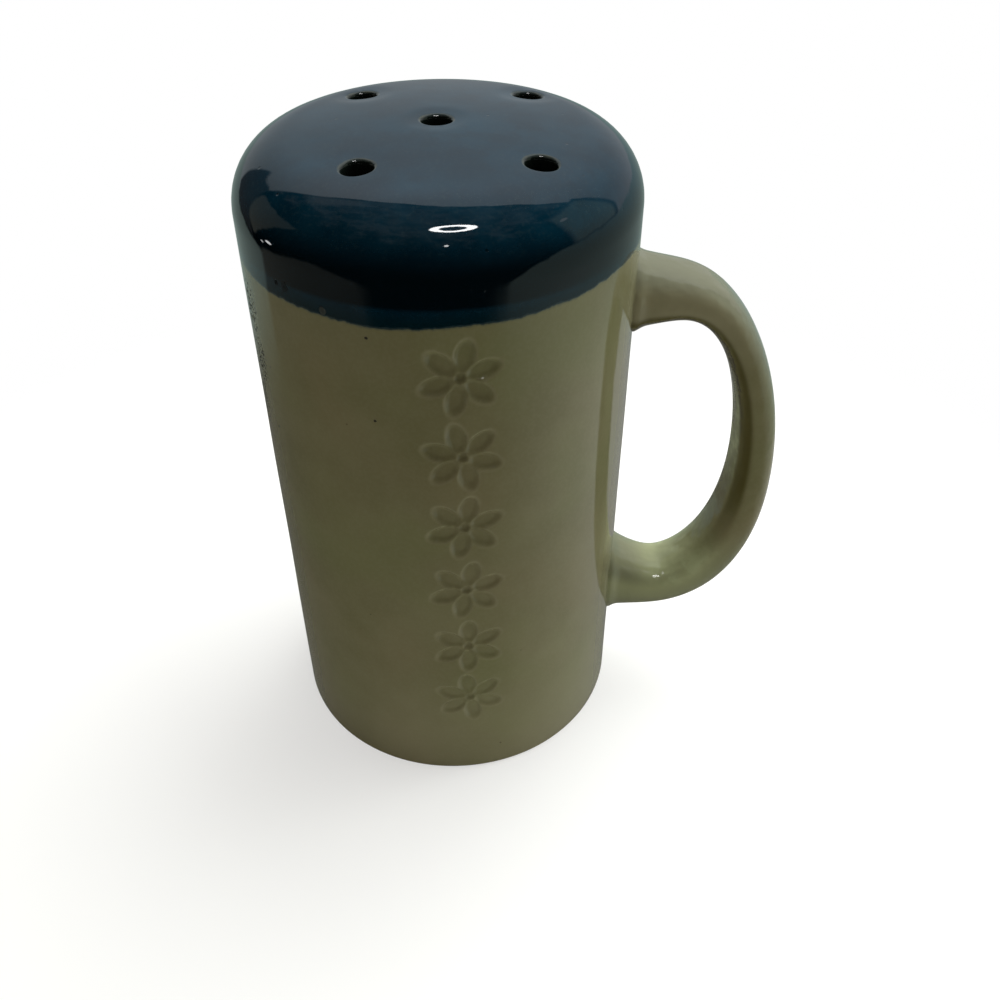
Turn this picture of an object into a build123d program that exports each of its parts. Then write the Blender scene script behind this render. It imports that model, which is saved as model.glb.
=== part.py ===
"""Stoneware cheese shaker: a mug-shaped pot with a perforated top, a side handle and a cork in its base.

Millimetres. +Z is up, the origin is on the pot's axis at the table, and +X points to the handle.
The clay pieces are luted together face to face; only the cork comes out, downwards.
"""

import os
from math import cos, radians, sin, sqrt, tan

from build123d import *

# Pot
HEIGHT = 146.0  # table to the highest point of the crown
BASE_RADIUS = 40.5  # outside, at the table
WALL_LEAN = 0.8  # how far the wall leans in on its way up
SHOULDER_RADIUS = BASE_RADIUS - WALL_LEAN  # where the wall would meet the crown as a sharp corner
WALL = 5.0  # side wall, measured across
FOOT_BEVEL = 0.8  # trimmed outer edge of the foot

# Perforated top, joined to the wall at the glaze line
TOP_DEPTH = 22.0  # from the crown's highest point down to the joint
GLAZE_LINE = HEIGHT - TOP_DEPTH  # height of the joint between wall and top
CROWN_RADIUS = 260.0  # sphere of the shallow crown
SHOULDER_ROUND = 13.0  # outside round between wall and crown
TOP_THICKNESS = 5.0
HOLE_DIAMETER = 6.2
HOLE_RIM_ROUND = 1.4  # softened upper edge of each pouring hole
# Hand-punched pouring holes: distance from the axis, and azimuth in degrees from the handle
HOLE_PLACES = ((0.0, 0.0), (25.0, 46.0), (23.6, 132.0), (24.2, 238.5), (26.2, 316.5))

# Floor with its filling hole
FLOOR_RECESS = 5.0  # how far the floor's underside stands above the table
FLOOR_THICKNESS = 6.0
FILLER_RADIUS = 22.0  # of the filling hole, at the floor's underside
FILLER_TAPER = 6.0  # degrees; the hole narrows upwards
FILLER_BEVEL = 0.8  # trimmed edges of the filling hole

# Cork
CORK_LENGTH = 15.0
CORK_PROUD = 3.0  # grip that stands below the floor's underside
CORK_GAP = 0.2  # between cork and hole, at right angles to the axis
CORK_BEVEL = 0.8  # both edges

# Handle: a level run out of the wall, two quarter ellipses, and a level run back
HANDLE_DROP = 12.8  # from the glaze line down to the upper run's centre line
HANDLE_TOP = GLAZE_LINE - HANDLE_DROP
HANDLE_BOTTOM = 28.3  # height of the lower run's centre line
HANDLE_PROJECTION = 30.9  # from the pot's widest radius out to the centre line at its furthest
HANDLE_REACH = BASE_RADIUS + HANDLE_PROJECTION
HANDLE_REACH_RISE = 33.8  # from the lower run up to that furthest point
HANDLE_REACH_HEIGHT = HANDLE_BOTTOM + HANDLE_REACH_RISE
HANDLE_RUN = 8.7  # level run from the wall to the start of the curve
HANDLE_WIDTH = 16.4
HANDLE_THIN = 7.4  # thickness of the upper arm, clear of its root
HANDLE_THICK = 12.0  # thickness of the lower arm, clear of its root
UPPER_FLARE = 7.7  # how much thicker the upper root is at the wall
UPPER_FLARE_LENGTH = 21.5  # how far from the wall that flare dies out
LOWER_FLARE = 7.0
LOWER_FLARE_LENGTH = 11.0
ROOT_WIDENING = 2.0  # how much wider both roots are at the wall
FLARE_POWER = 1.5  # hollow curve of the flare
RUN_STATIONS = 3  # sections in each level run
CURVE_STATIONS = 5  # sections in each quarter ellipse


def wall_radius(z):
    """Outside radius of the pot's wall at a height."""
    corner_height = shoulder_height(CROWN_RADIUS, SHOULDER_RADIUS)
    return BASE_RADIUS + (SHOULDER_RADIUS - BASE_RADIUS) * z / corner_height


def shoulder_height(crown_radius, radius):
    """Height at which a crown sphere, centred under the outer crown's top, reaches a radius."""
    return HEIGHT - CROWN_RADIUS + sqrt(crown_radius**2 - radius**2)


def revolved(bottom_radius, corner_radius, crown_radius, round_radius):
    """A solid pot form: flat base, straight wall, rounded shoulder and spherical crown."""
    corner = (corner_radius, 0, shoulder_height(crown_radius, corner_radius))
    top = (0, 0, HEIGHT - CROWN_RADIUS + crown_radius)
    wall = Line((bottom_radius, 0, 0), corner)
    crown_middle = shoulder_height(crown_radius, corner_radius / 2)
    crown = ThreePointArc(corner, (corner_radius / 2, 0, crown_middle), top)
    base = Polyline(top, (0, 0, 0), (bottom_radius, 0, 0))
    face = make_face(wall + crown + base)
    corner_vertex = face.vertices().sort_by_distance(corner)[0]
    return revolve(fillet(corner_vertex, round_radius).face(), Axis.Z)


def pot_form():
    """The filled outside form of wall and top together."""
    return revolved(BASE_RADIUS, SHOULDER_RADIUS, CROWN_RADIUS, SHOULDER_ROUND)


def pot_hollow():
    """The space inside wall and top, down to the table."""
    inner_round = SHOULDER_ROUND - WALL
    return revolved(BASE_RADIUS - WALL, SHOULDER_RADIUS - WALL, CROWN_RADIUS - TOP_THICKNESS, inner_round)


def pot_shell():
    """Wall and top as one open-bottomed shell, before they are parted at the glaze line."""
    return pot_form() - pot_hollow()


def body_wall():
    """The tube from the table to the glaze line; its lower end is the foot that the shaker stands on."""
    tube = split(pot_shell(), Plane.XY.offset(GLAZE_LINE), keep=Keep.BOTTOM)
    foot_edge = tube.edges().filter_by(GeomType.CIRCLE).group_by(Axis.Z)[0].sort_by(SortBy.LENGTH)[-1]
    return chamfer(foot_edge, FOOT_BEVEL)


def shaker_top():
    """The rounded shoulder and shallow crown, with its pouring holes."""
    top = split(pot_shell(), Plane.XY.offset(GLAZE_LINE), keep=Keep.TOP)
    punch = Cylinder(HOLE_DIAMETER / 2, HEIGHT - GLAZE_LINE, align=(Align.CENTER, Align.CENTER, Align.MIN))
    for distance, azimuth in HOLE_PLACES:
        place = Pos(distance * cos(radians(azimuth)), distance * sin(radians(azimuth)), GLAZE_LINE)
        top -= place * punch
    bores = top.faces().filter_by(GeomType.CYLINDER)
    rims = [bore.edges().sort_by(Axis.Z)[-1] for bore in bores]
    return fillet(rims, HOLE_RIM_ROUND)


def filler_radius(z):
    """Radius of the tapered filling hole at a height."""
    return FILLER_RADIUS - (z - FLOOR_RECESS) * tan(radians(FILLER_TAPER))


def tapered_plug(low, high, clearance):
    """A solid of the filling hole's taper between two heights, smaller all round by a clearance."""
    outline = Polyline(
        (0, 0, low),
        (filler_radius(low) - clearance, 0, low),
        (filler_radius(high) - clearance, 0, high),
        (0, 0, high),
        close=True,
    )
    return revolve(make_face(outline), Axis.Z)


def base_floor():
    """The floor disc, luted into the wall above the foot, with the tapered filling hole."""
    low, high = FLOOR_RECESS, FLOOR_RECESS + FLOOR_THICKNESS
    standing = (Align.CENTER, Align.CENTER, Align.MIN)
    slab = Pos(0, 0, low) * Cylinder(BASE_RADIUS, FLOOR_THICKNESS, align=standing)
    disc = slab & pot_hollow()
    disc -= tapered_plug(low, high, 0)
    rings = disc.edges().filter_by(GeomType.CIRCLE).group_by(Axis.Z)
    hole_edges = [ring.sort_by(SortBy.LENGTH)[0] for ring in rings]
    return chamfer(hole_edges, FILLER_BEVEL)


def cork():
    """The tapered cork, thick end down, standing proud of the floor for the fingers."""
    low = FLOOR_RECESS - CORK_PROUD
    plug = tapered_plug(low, low + CORK_LENGTH, CORK_GAP)
    return chamfer(plug.edges().filter_by(GeomType.CIRCLE), CORK_BEVEL)


def handle_path():
    """Stations of the centre line in the X-Z plane, from the upper root round the ear to the lower root.

    Each is a point, a direction and how far the way has gone from the upper arm (0) to the lower arm (1).
    """
    root = wall_radius(HANDLE_TOP) - WALL / 2
    curve = wall_radius(HANDLE_BOTTOM) + HANDLE_RUN
    run = [root + (curve - root) * step / RUN_STATIONS for step in range(RUN_STATIONS)]
    stations = [(x, HANDLE_TOP, (1, 0), 0) for x in run]
    ear = HANDLE_REACH - curve
    for step in range(2 * CURVE_STATIONS + 1):
        angle = radians(90 - 90 * step / CURVE_STATIONS)
        end_height = HANDLE_TOP if step < CURVE_STATIONS else HANDLE_BOTTOM
        rise = abs(end_height - HANDLE_REACH_HEIGHT)
        point = (curve + ear * cos(angle), HANDLE_REACH_HEIGHT + rise * sin(angle))
        stations.append((*point, (ear * sin(angle), -rise * cos(angle)), (1 - sin(angle)) / 2))
    stations += [(x, HANDLE_BOTTOM, (-1, 0), 1) for x in reversed(run)]
    return stations


def handle_section(x, z, direction, lowered):
    """An oval section square to the centre line, flaring towards the wall."""
    upper = lowered < 0.5
    flare, length = (UPPER_FLARE, UPPER_FLARE_LENGTH) if upper else (LOWER_FLARE, LOWER_FLARE_LENGTH)
    closeness = max(0, 1 - (x - wall_radius(z)) / length) ** FLARE_POWER
    thickness = HANDLE_THIN + (HANDLE_THICK - HANDLE_THIN) * lowered + flare * closeness
    width = HANDLE_WIDTH + ROOT_WIDENING * closeness
    plane = Plane(origin=(x, 0, z), x_dir=(0, 1, 0), z_dir=(direction[0], 0, direction[1]))
    return plane * Ellipse(width / 2, thickness / 2)


def handle():
    """The ear handle, its two ends cut to the curve of the wall that they are luted to."""
    return loft([handle_section(*station) for station in handle_path()]) - pot_form()


def main():
    os.makedirs("parts", exist_ok=True)
    pieces = {
        "body_wall": body_wall(),
        "shaker_top": shaker_top(),
        "base_floor": base_floor(),
        "handle": handle(),
        "cork": cork(),
    }
    for name, piece in pieces.items():
        export_step(piece, f"parts/{name}.step")
        print(name, "volume", round(piece.volume), "size", piece.bounding_box().size)


main()
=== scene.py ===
# %% [markdown]
# # A stoneware cheese shaker
# The real object is a pot in the shape of a tall mug: a sage wall, a domed top with five punched holes
# that was dipped in dark blue glaze, an ear handle, and a cork in the base. The CAD frame already holds
# every size and every joint, so Blender only has to give each solid the shape and finish that a camera
# sees.

# %% Load the frame
from math import atan2, cos, exp, hypot, pi, prod, radians, sin, sqrt, tan

import bmesh
import bpy
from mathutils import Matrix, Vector, noise
from mathutils.geometry import delaunay_2d_cdt


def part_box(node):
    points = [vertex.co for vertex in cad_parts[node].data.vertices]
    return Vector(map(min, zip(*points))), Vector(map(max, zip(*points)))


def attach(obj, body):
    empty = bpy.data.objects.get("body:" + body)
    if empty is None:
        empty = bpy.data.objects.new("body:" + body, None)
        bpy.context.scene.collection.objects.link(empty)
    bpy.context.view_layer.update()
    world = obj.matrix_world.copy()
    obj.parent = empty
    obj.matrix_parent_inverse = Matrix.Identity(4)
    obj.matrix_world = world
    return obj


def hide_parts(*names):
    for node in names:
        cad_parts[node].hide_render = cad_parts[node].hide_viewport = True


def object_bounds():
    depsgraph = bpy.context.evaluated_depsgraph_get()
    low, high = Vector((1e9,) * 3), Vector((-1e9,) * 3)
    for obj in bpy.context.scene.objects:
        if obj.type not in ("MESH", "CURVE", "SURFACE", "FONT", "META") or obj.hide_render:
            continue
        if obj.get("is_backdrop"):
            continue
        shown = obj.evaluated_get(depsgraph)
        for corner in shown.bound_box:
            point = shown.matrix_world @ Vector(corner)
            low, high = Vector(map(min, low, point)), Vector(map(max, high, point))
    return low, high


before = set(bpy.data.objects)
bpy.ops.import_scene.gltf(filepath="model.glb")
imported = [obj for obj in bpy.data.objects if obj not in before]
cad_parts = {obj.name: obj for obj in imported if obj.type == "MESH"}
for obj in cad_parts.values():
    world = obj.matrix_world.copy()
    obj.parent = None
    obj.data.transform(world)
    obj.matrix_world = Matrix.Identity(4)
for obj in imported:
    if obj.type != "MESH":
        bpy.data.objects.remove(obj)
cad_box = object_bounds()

print("nodes in the frame:", sorted(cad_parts))

# %% [markdown]
# ## Sizes
# A potter works to a few sizes and lets the rest follow. The heights come from the boxes of the CAD
# nodes, in metres. What a box can't tell, such as the round of the shoulder, is written here once as a
# real size.

# %% Sizes of the pot
MM = 0.001
GLAZE_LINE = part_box("body_wall")[1].z
FLOOR_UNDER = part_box("base_floor")[0].z
FLOOR_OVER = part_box("base_floor")[1].z
TOP_DEPTH = 22 * MM
HEIGHT = GLAZE_LINE + TOP_DEPTH
BASE_RADIUS = 40.5 * MM
SHOULDER_RADIUS = 39.7 * MM
WALL = 5 * MM
CROWN_RADIUS = 260 * MM
SHOULDER_ROUND = 13 * MM

print(f"pot {HEIGHT / MM:.0f} mm tall, joint of wall and top at {GLAZE_LINE / MM:.0f} mm")

# %% [markdown]
# ## Camera
# The photograph looks down at the shaker from close by, so its sides lean together towards the table. A
# camera that was fitted to the outline gives the same lean: it stands less than 30 cm away and tips down
# by 40 degrees.

# %% Camera
CAMERA_PLACE = Vector((11.84, -185.27, 207.70)) * MM
CAMERA_TIP = radians(90 - 39.79)
CAMERA_LENS = 35.14
CAMERA_SENSOR = 36
CAMERA_NEAR = 10 * MM


def add_object(name, data):
    """A new object in the scene."""
    thing = bpy.data.objects.new(name, data)
    bpy.context.collection.objects.link(thing)
    return thing


camera = add_object("camera", bpy.data.cameras.new("camera"))
camera.data.lens = CAMERA_LENS
camera.data.sensor_width = CAMERA_SENSOR
camera.data.clip_start = CAMERA_NEAR
camera.location = CAMERA_PLACE
camera.rotation_euler = (CAMERA_TIP, 0, 0)
bpy.context.scene.camera = camera
print("camera", round(CAMERA_PLACE.length / MM), "mm from the middle of the foot")

# %% [markdown]
# ## Node helpers
# Node trees get long when every node takes four lines. Here an output of a node is a wire, and arithmetic
# on wires adds Math nodes, so that a tree below reads like a formula. Shader and geometry trees share
# these helpers.


# %% Wires and nodes
def operator(operation, swapped=False):
    """A method that joins a wire and another value with a Math node."""
    def join(wire, other):
        return calc(operation, other, wire) if swapped else calc(operation, wire, other)
    return join


class Wire:
    """One output of a node. Arithmetic on wires adds Math nodes to their tree."""

    def __init__(self, socket):
        self.socket = socket
        self.tree = socket.id_data

    __add__ = __radd__ = operator("ADD")
    __mul__ = __rmul__ = operator("MULTIPLY")
    __sub__ = operator("SUBTRACT")
    __rsub__ = operator("SUBTRACT", swapped=True)
    __truediv__ = operator("DIVIDE")
    __rtruediv__ = operator("DIVIDE", swapped=True)
    __pow__ = operator("POWER")

    def __abs__(self):
        return calc("ABSOLUTE", self)


class Node:
    """A node in its tree: reading a name gives that output as a wire, setting a name feeds that input."""

    def __init__(self, tree, kind, settings=None):
        self.tree = tree
        self.node = tree.nodes.new(kind)
        for key, value in (settings or {}).items():
            setattr(self.node, key, value)

    def __getitem__(self, name):
        return Wire(self.node.outputs[name])

    def __setitem__(self, name, value):
        if isinstance(value, Wire):
            self.tree.links.new(value.socket, self.node.inputs[name])
        else:
            self.node.inputs[name].default_value = value


def tree_of(values):
    """The tree of the first wire among some values."""
    return next(value.tree for value in values if isinstance(value, Wire))


def put(tree, kind, settings=None, **inputs):
    """Adds a node; keyword names are its input names, with _ for a space."""
    node = Node(tree, kind, settings)
    for name, value in inputs.items():
        node[name.replace("_", " ")] = value
    return node


def put_in_order(kind, settings, values):
    """Adds a node to the tree of its wires, with its inputs in their order."""
    node = Node(tree_of(values), kind, settings)
    for index, value in enumerate(values):
        node[index] = value
    return node


print("wires and nodes ready")


# %% Sums, steps and mixes
def calc(operation, *values):
    """One Math node; gives its output."""
    return put_in_order("ShaderNodeMath", {"operation": operation}, values)[0]


def vector_calc(operation, *values, output="Vector"):
    """One Vector Math node; gives its vector, or its number as output Value."""
    return put_in_order("ShaderNodeVectorMath", {"operation": operation}, values)[output]


def scaled(vector, scale):
    """A vector times a number."""
    node = put(vector.tree, "ShaderNodeVectorMath", {"operation": "SCALE"}, Scale=scale)
    node[0] = vector
    return node["Vector"]


def larger(*values):
    """The largest of some values."""
    most = values[0]
    for value in values[1:]:
        most = calc("MAXIMUM", most, value)
    return most


def root_of_squares(one, other):
    """Length of a vector that has these two sides."""
    return calc("SQRT", one * one + other * other)


def fade(value, low, high, to_low=0.0, to_high=1.0, kind="SMOOTHSTEP"):
    """A soft step: to_low at low, to_high at high, and clamped beyond both."""
    return put(value.tree, "ShaderNodeMapRange", {"interpolation_type": kind}, Value=value, From_Min=low,
               From_Max=high, To_Min=to_low, To_Max=to_high)["Result"]


def ramp(value, low, high, to_low=0.0, to_high=1.0):
    """A straight step, clamped beyond both ends."""
    return fade(value, low, high, to_low, to_high, "LINEAR")


def tint(factor, colour, other):
    """A mix of two colours, which a Mix node keeps in inputs 6 and 7 and puts out as output 2."""
    node = Node(factor.tree, "ShaderNodeMix", {"data_type": "RGBA"})
    node[0], node[6], node[7] = factor, colour, other
    return node[2]


def clouds(place, scale, detail=2.0, roughness=0.5):
    """Noise between 0 and 1 at a place; scale is in bumps per metre."""
    return put(place.tree, "ShaderNodeTexNoise", Vector=place, Scale=scale, Detail=detail,
               Roughness=roughness)["Fac"]


def parts_of(vector):
    """A node whose outputs are the X, Y and Z of a vector."""
    return put(vector.tree, "ShaderNodeSeparateXYZ", Vector=vector)


def cells(place, scale):
    """Distance from the middle of the nearest cell, and a chance that is fixed for each cell."""
    node = put(place.tree, "ShaderNodeTexVoronoi", Vector=place, Scale=scale)
    return node["Distance"], parts_of(node["Color"])["X"]


def level_part(axes):
    """A vector's part in the plane of the table."""
    return put(axes.tree, "ShaderNodeCombineXYZ", X=axes["X"], Y=axes["Y"])[0]


print("formulas ready")

# %% [markdown]
# ## Studio
# A glossy glaze shows the room as a mirror does, so the room matters more than the lamps. The photograph
# was taken with a bright window wall behind the shaker, a grey ceiling, and a dark room on the camera's
# side: that is why the top shines pale while the front of the shoulder is nearly black. The world is a
# room of the same plan, drawn by bearing (0 is straight behind, 90 is the handle's side) and elevation.
# The camera itself sees plain white, and matt surfaces get a little warm fill from all round, which keeps
# the shaded front readable.


# %% Things in the room
def grey(level):
    """A grey of a brightness."""
    return (level, level, level, 1)


WHITE = grey(1)
BLACK = grey(0)
CEILING = grey(0.175)
CEILING_DIM = grey(0.060)
WINDOW_LEFT = (0.36, 0.395, 0.41, 1)
WINDOW_RIGHT = grey(0.445)
WINDOW_HIGH = (0.95, 0.97, 1.0, 1)
TABLE = (0.26, 0.335, 0.310, 1)
NEAR_TABLE = (0.57, 0.58, 0.555, 1)
NEAR_TABLE_DIM = (0.12, 0.12, 0.11, 1)
FILL = (0.320, 0.292, 0.244, 1)
# The window's corners as bearing and elevation, anticlockwise, in degrees as all angles of the room are
WINDOW = ((-41, -10), (66, -10), (79, 58), (68, 74), (45, 81), (0, 82), (-28, 78), (-47, 69), (-61, 52),
          (-61, 26))
WINDOW_SOFT = 1.2
# Flat things round the shaker: colour, softness of the edge, then corners
BOARDS = {
    "gap_beside_right_board": (grey(0.10), 1.2, ((66, 1), (104, 1), (106, 41), (72, 44), (64, 9))),
    "right_board": ((0.29, 0.34, 0.29, 1), 2.0, ((69, 3), (102, 2), (104, 39), (75, 41), (67, 9))),
    "dark_thing_left": (grey(0.05), 1.2, ((-66, -16), (-41, -2), (-43, 26), (-60, 23))),
    "left_board": ((0.155, 0.160, 0.135, 1), 1.2, ((-68, -12), (-62, -2), (-62, 17), (-66, 20), (-98, 19))),
    "left_glow": (grey(0.28), 4.0, ((-80, 48), (-64, 44), (-58, 64), (-72, 70))),
    "left_table": ((0.115, 0.120, 0.105, 1), 2.5,
                   ((-180, -60), (-64, -60), (-64, -22), (-90, -16), (-112, -11), (-180, -49))),
    "table": (TABLE, 2.0, ((-68, -60), (150, -60), (150, -44), (139, -26), (129, -11), (117, -3), (104, 1),
                           (66, 2), (-40, -2), (-68, -20))),
    "table_end": (TABLE, 4.0, ((120, -60), (180, -60), (180, -46), (142, -27), (120, -24))),
}
# Lamps: bearing, elevation, half width, half height, empty share of the middle, brightness
LAMPS = {
    "ring": (166, 62, 10.5, 5.2, 0.58, 28.0),
    "spot": (174, 37, 1.3, 1.3, -1.0, 14.0),
    "left_glint": (-81, -11.5, 2.4, 1.2, -1.0, 6.0),
    "left_glint_beside": (-75, -14, 1.4, 0.9, -1.0, 3.0),
    "right_glint": (98, 32, 2.6, 1.6, -1.0, 0.9),
}
print("a window,", len(BOARDS), "flat things and", len(LAMPS), "small lamps")


# %% Room
HAZE_SCALE = 6.5
CEILING_WAVE = 60.0
EDGE_WAVE = 7.0


def along_axis(heading, bearing, elevation):
    """How far a heading points towards a bearing and an elevation."""
    flat, high = cos(radians(elevation)), sin(radians(elevation))
    axis = (flat * sin(radians(bearing)), flat * cos(radians(bearing)), high)
    return vector_calc("DOT_PRODUCT", heading, axis, output="Value")


def board_mask(bearing, elevation, corners, soft):
    """A mask inside a convex outline of bearings and elevations, with soft edges."""
    steps = []
    for here, after in zip(corners, corners[1:] + corners[:1]):
        run, rise = after[0] - here[0], after[1] - here[1]
        length = hypot(run, rise)
        inwards = (elevation - here[1]) * (run / length) + (bearing - here[0]) * (-rise / length)
        steps.append(fade(inwards, -soft, soft))
    return prod(steps[1:], start=steps[0])


def oval_lamp(heading, bearing, elevation, width, height, hollow):
    """An oval lamp round a heading; hollow is the empty share of its middle."""
    across = along_axis(heading, bearing + 90, 0)
    up = along_axis(heading, bearing, elevation + 90)
    off = root_of_squares(across / sin(radians(width)), up / sin(radians(height)))
    lit = fade(off, hollow - 0.05, hollow + 0.05) * fade(off, 0.92, 1.0, 1.0, 0.0)
    return lit * calc("GREATER_THAN", along_axis(heading, bearing, elevation), 0.0)


def studio_room(tree, mirrored):
    """What each heading of the room shows to a mirror, as a colour; lamps show only where mirrored is 1."""
    heading = put(tree, "ShaderNodeTexCoord")["Generated"]
    axes = parts_of(heading)
    bearing = calc("DEGREES", calc("ARCTAN2", axes["X"], axes["Y"]))
    elevation = calc("DEGREES", calc("ARCSINE", axes["Z"]))
    haze = clouds(heading, HAZE_SCALE, 3.0, 0.65) - 0.5
    ceiling = tint(fade(haze, -0.15, 0.15), CEILING_DIM, CEILING)
    room = tint(fade(haze * CEILING_WAVE + elevation, 32.0, 60.0), BLACK, ceiling)
    window_low = tint(fade(bearing, -45.0, 45.0), WINDOW_LEFT, WINDOW_RIGHT)
    daylight = tint(fade(elevation, 18.0, 65.0), window_low, WINDOW_HIGH)
    room = tint(board_mask(bearing, elevation, WINDOW, WINDOW_SOFT), room, daylight)
    wavy_elevation = haze * EDGE_WAVE + elevation
    for colour, soft, corners in BOARDS.values():
        room = tint(board_mask(bearing, wavy_elevation, corners, soft), room, colour)
    near_table = tint(fade(along_axis(heading, 0, 0), -0.3, 0.8), BLACK, NEAR_TABLE_DIM)
    near_table = tint(fade(along_axis(heading, 75, 0), 0.1, 0.95), near_table, NEAR_TABLE)
    near_table = tint(fade(elevation, -36.0, -50.0, 0.0, 0.4), near_table, NEAR_TABLE_DIM)
    room = tint(fade(elevation, -25.0, -33.0), room, near_table)
    for *shape, level in LAMPS.values():
        room = tint(oval_lamp(heading, *shape) * mirrored, room, grey(level))
    return room


def clear_tree(owner):
    """The node tree of a material or a world, emptied."""
    owner.use_nodes = True
    owner.node_tree.nodes.clear()
    return owner.node_tree


world = bpy.data.worlds.new("studio")
bpy.context.scene.world = world
tree = clear_tree(world)
light_path = Node(tree, "ShaderNodeLightPath")
seen = larger(light_path["Is Camera Ray"], light_path["Is Transmission Ray"])
shown = tint(seen, studio_room(tree, light_path["Is Glossy Ray"]), WHITE)
background = put(tree, "ShaderNodeBackground", Color=shown)[0]
fill = put(tree, "ShaderNodeBackground", Color=FILL, Strength=light_path["Is Diffuse Ray"])[0]
both = put_in_order("ShaderNodeAddShader", {}, (background, fill))[0]
put(tree, "ShaderNodeOutputWorld", Surface=both)
print("room with", len(tree.nodes), "nodes")

# %% [markdown]
# One large soft lamp high behind the shaker adds the daylight that falls on tops: the crown, the handle's
# back, the floor. It is hidden from reflections, because the room above already says what the glaze
# shows.

# %% Daylight
DAYLIGHT_PLACE = Vector((0.55, 0.48, 0.98))
DAYLIGHT_AIM = Vector((0, 0, HEIGHT / 2))
DAYLIGHT_SIZE = 1.2
DAYLIGHT_POWER = 26
DAYLIGHT_COLOUR = (0.97, 1.0, 0.98)

daylight = add_object("daylight", bpy.data.lights.new("daylight", "AREA"))
daylight.data.shape = "SQUARE"
daylight.data.size = DAYLIGHT_SIZE
daylight.data.energy = DAYLIGHT_POWER
daylight.data.color = DAYLIGHT_COLOUR
daylight.location = DAYLIGHT_PLACE
daylight.rotation_euler = (DAYLIGHT_AIM - DAYLIGHT_PLACE).to_track_quat("-Z", "Y").to_euler()
daylight.visible_camera = False
daylight.visible_glossy = False
print("daylight", round(DAYLIGHT_PLACE.length, 2), "m away")

# %% [markdown]
# The floor is a pale round sheet. Its rim fades out, so that no edge shows against the white background
# from any side, while the shaker still stands in its own soft shadow. To camera rays it is part white,
# which keeps the shadow light without putting any more light on the shaker. Reflections don't see it:
# they see the table of the room. It is open under the foot and clear from below, so that the underside
# and the cork can be looked at too.

# %% Floor
FLOOR_CLEAR = 0.13
FLOOR_REACH = 0.22
FLOOR_WHITE = 0.55
FLOOR_PALE = (0.90, 0.90, 0.88, 1)
FLOOR_OPENING = BASE_RADIUS - WALL / 2
FLOOR_SEGMENTS = 96


def floor_sheet():
    """A flat ring of faces that point up."""
    sheet = bmesh.new()
    for radius in (FLOOR_OPENING, FLOOR_REACH):
        bmesh.ops.create_circle(sheet, segments=FLOOR_SEGMENTS, radius=radius)
    bmesh.ops.bridge_loops(sheet, edges=sheet.edges)
    bmesh.ops.recalc_face_normals(sheet, faces=sheet.faces)
    if sum(face.normal.z for face in sheet.faces) < 0:
        bmesh.ops.reverse_faces(sheet, faces=sheet.faces)
    mesh = bpy.data.meshes.new("studio_floor")
    sheet.to_mesh(mesh)
    sheet.free()
    return mesh


def shader_mix(*values):
    """A mix of two shaders by a factor, which comes first."""
    return put_in_order("ShaderNodeMixShader", {}, values)[0]


def pale_floor():
    """Pale and matt, part white to the camera, and gone at its rim, from below and in reflections."""
    material = bpy.data.materials.new("pale_floor")
    tree = clear_tree(material)
    distance = vector_calc("LENGTH", put(tree, "ShaderNodeTexCoord")["Object"], output="Value")
    pale = put(tree, "ShaderNodeBsdfDiffuse", Color=FLOOR_PALE)[0]
    white = put(tree, "ShaderNodeEmission", Color=WHITE, Strength=1.0)[0]
    clear = put(tree, "ShaderNodeBsdfTransparent")[0]
    light_path = Node(tree, "ShaderNodeLightPath")
    lit = shader_mix(light_path["Is Camera Ray"] * FLOOR_WHITE, pale, white)
    rim = fade(distance, FLOOR_CLEAR, FLOOR_REACH)
    unseen = larger(rim, Node(tree, "ShaderNodeNewGeometry")["Backfacing"], light_path["Is Glossy Ray"])
    put(tree, "ShaderNodeOutputMaterial", Surface=shader_mix(unseen, lit, clear))
    return material


studio_floor = add_object("studio_floor", floor_sheet())
studio_floor.data.materials.append(pale_floor())
studio_floor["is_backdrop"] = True
print("floor whole to", FLOOR_CLEAR, "m, gone at", FLOOR_REACH, "m")

# %% [markdown]
# ## Finishes shared by the clay pieces
# Every glazed piece has the same faults of the kiln: cloudy thick and thin places, a skin that isn't
# quite flat, and pinholes where gas came through. One shader group makes them, and each glaze sets its
# own amounts.

# %% Kiln skin group
PINHOLES_PER_METRE = 420.0
# Unevenness of the skin: bumps per metre, detail and height
SKIN_WAVES = ((75.0, 1.0, 0.9), (240.0, 1.0, 0.16), (900.0, 2.0, 0.02))
PINHOLE_DEPTH = 0.6


def new_group(name, kind, inputs, outputs):
    """An empty node group with named sockets and their types, and its input and output nodes."""
    tree = bpy.data.node_groups.new(name, kind)
    for in_out, sockets in (("INPUT", inputs), ("OUTPUT", outputs)):
        for socket, socket_type in sockets.items():
            tree.interface.new_socket(name=socket, in_out=in_out, socket_type="NodeSocket" + socket_type)
    return tree, Node(tree, "NodeGroupInput"), Node(tree, "NodeGroupOutput")


def kiln_skin():
    """Clouding between -1 and 1, pinholes as a mask, and the height of the skin."""
    tree, given, made = new_group("kiln_skin", "ShaderNodeTree",
                                  {"Place": "Vector", "Cloud Size": "Float", "Pinholes": "Float"},
                                  {"Clouding": "Float", "Pinhole": "Float", "Height": "Float"})
    place = given["Place"]
    made["Clouding"] = ramp(clouds(place, 1.0 / given["Cloud Size"], 3.0, 0.6), 0.3, 0.7, -1.0, 1.0)
    distance, chance = cells(place, PINHOLES_PER_METRE)
    pinhole = fade(distance, 0.05, 0.16, 1.0, 0.0) * calc("LESS_THAN", chance, given["Pinholes"])
    made["Pinhole"] = pinhole
    ripple, dimples, grain = [clouds(place, scale, detail) * high for scale, detail, high in SKIN_WAVES]
    made["Height"] = ripple + dimples + grain - pinhole * PINHOLE_DEPTH
    return tree


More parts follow.
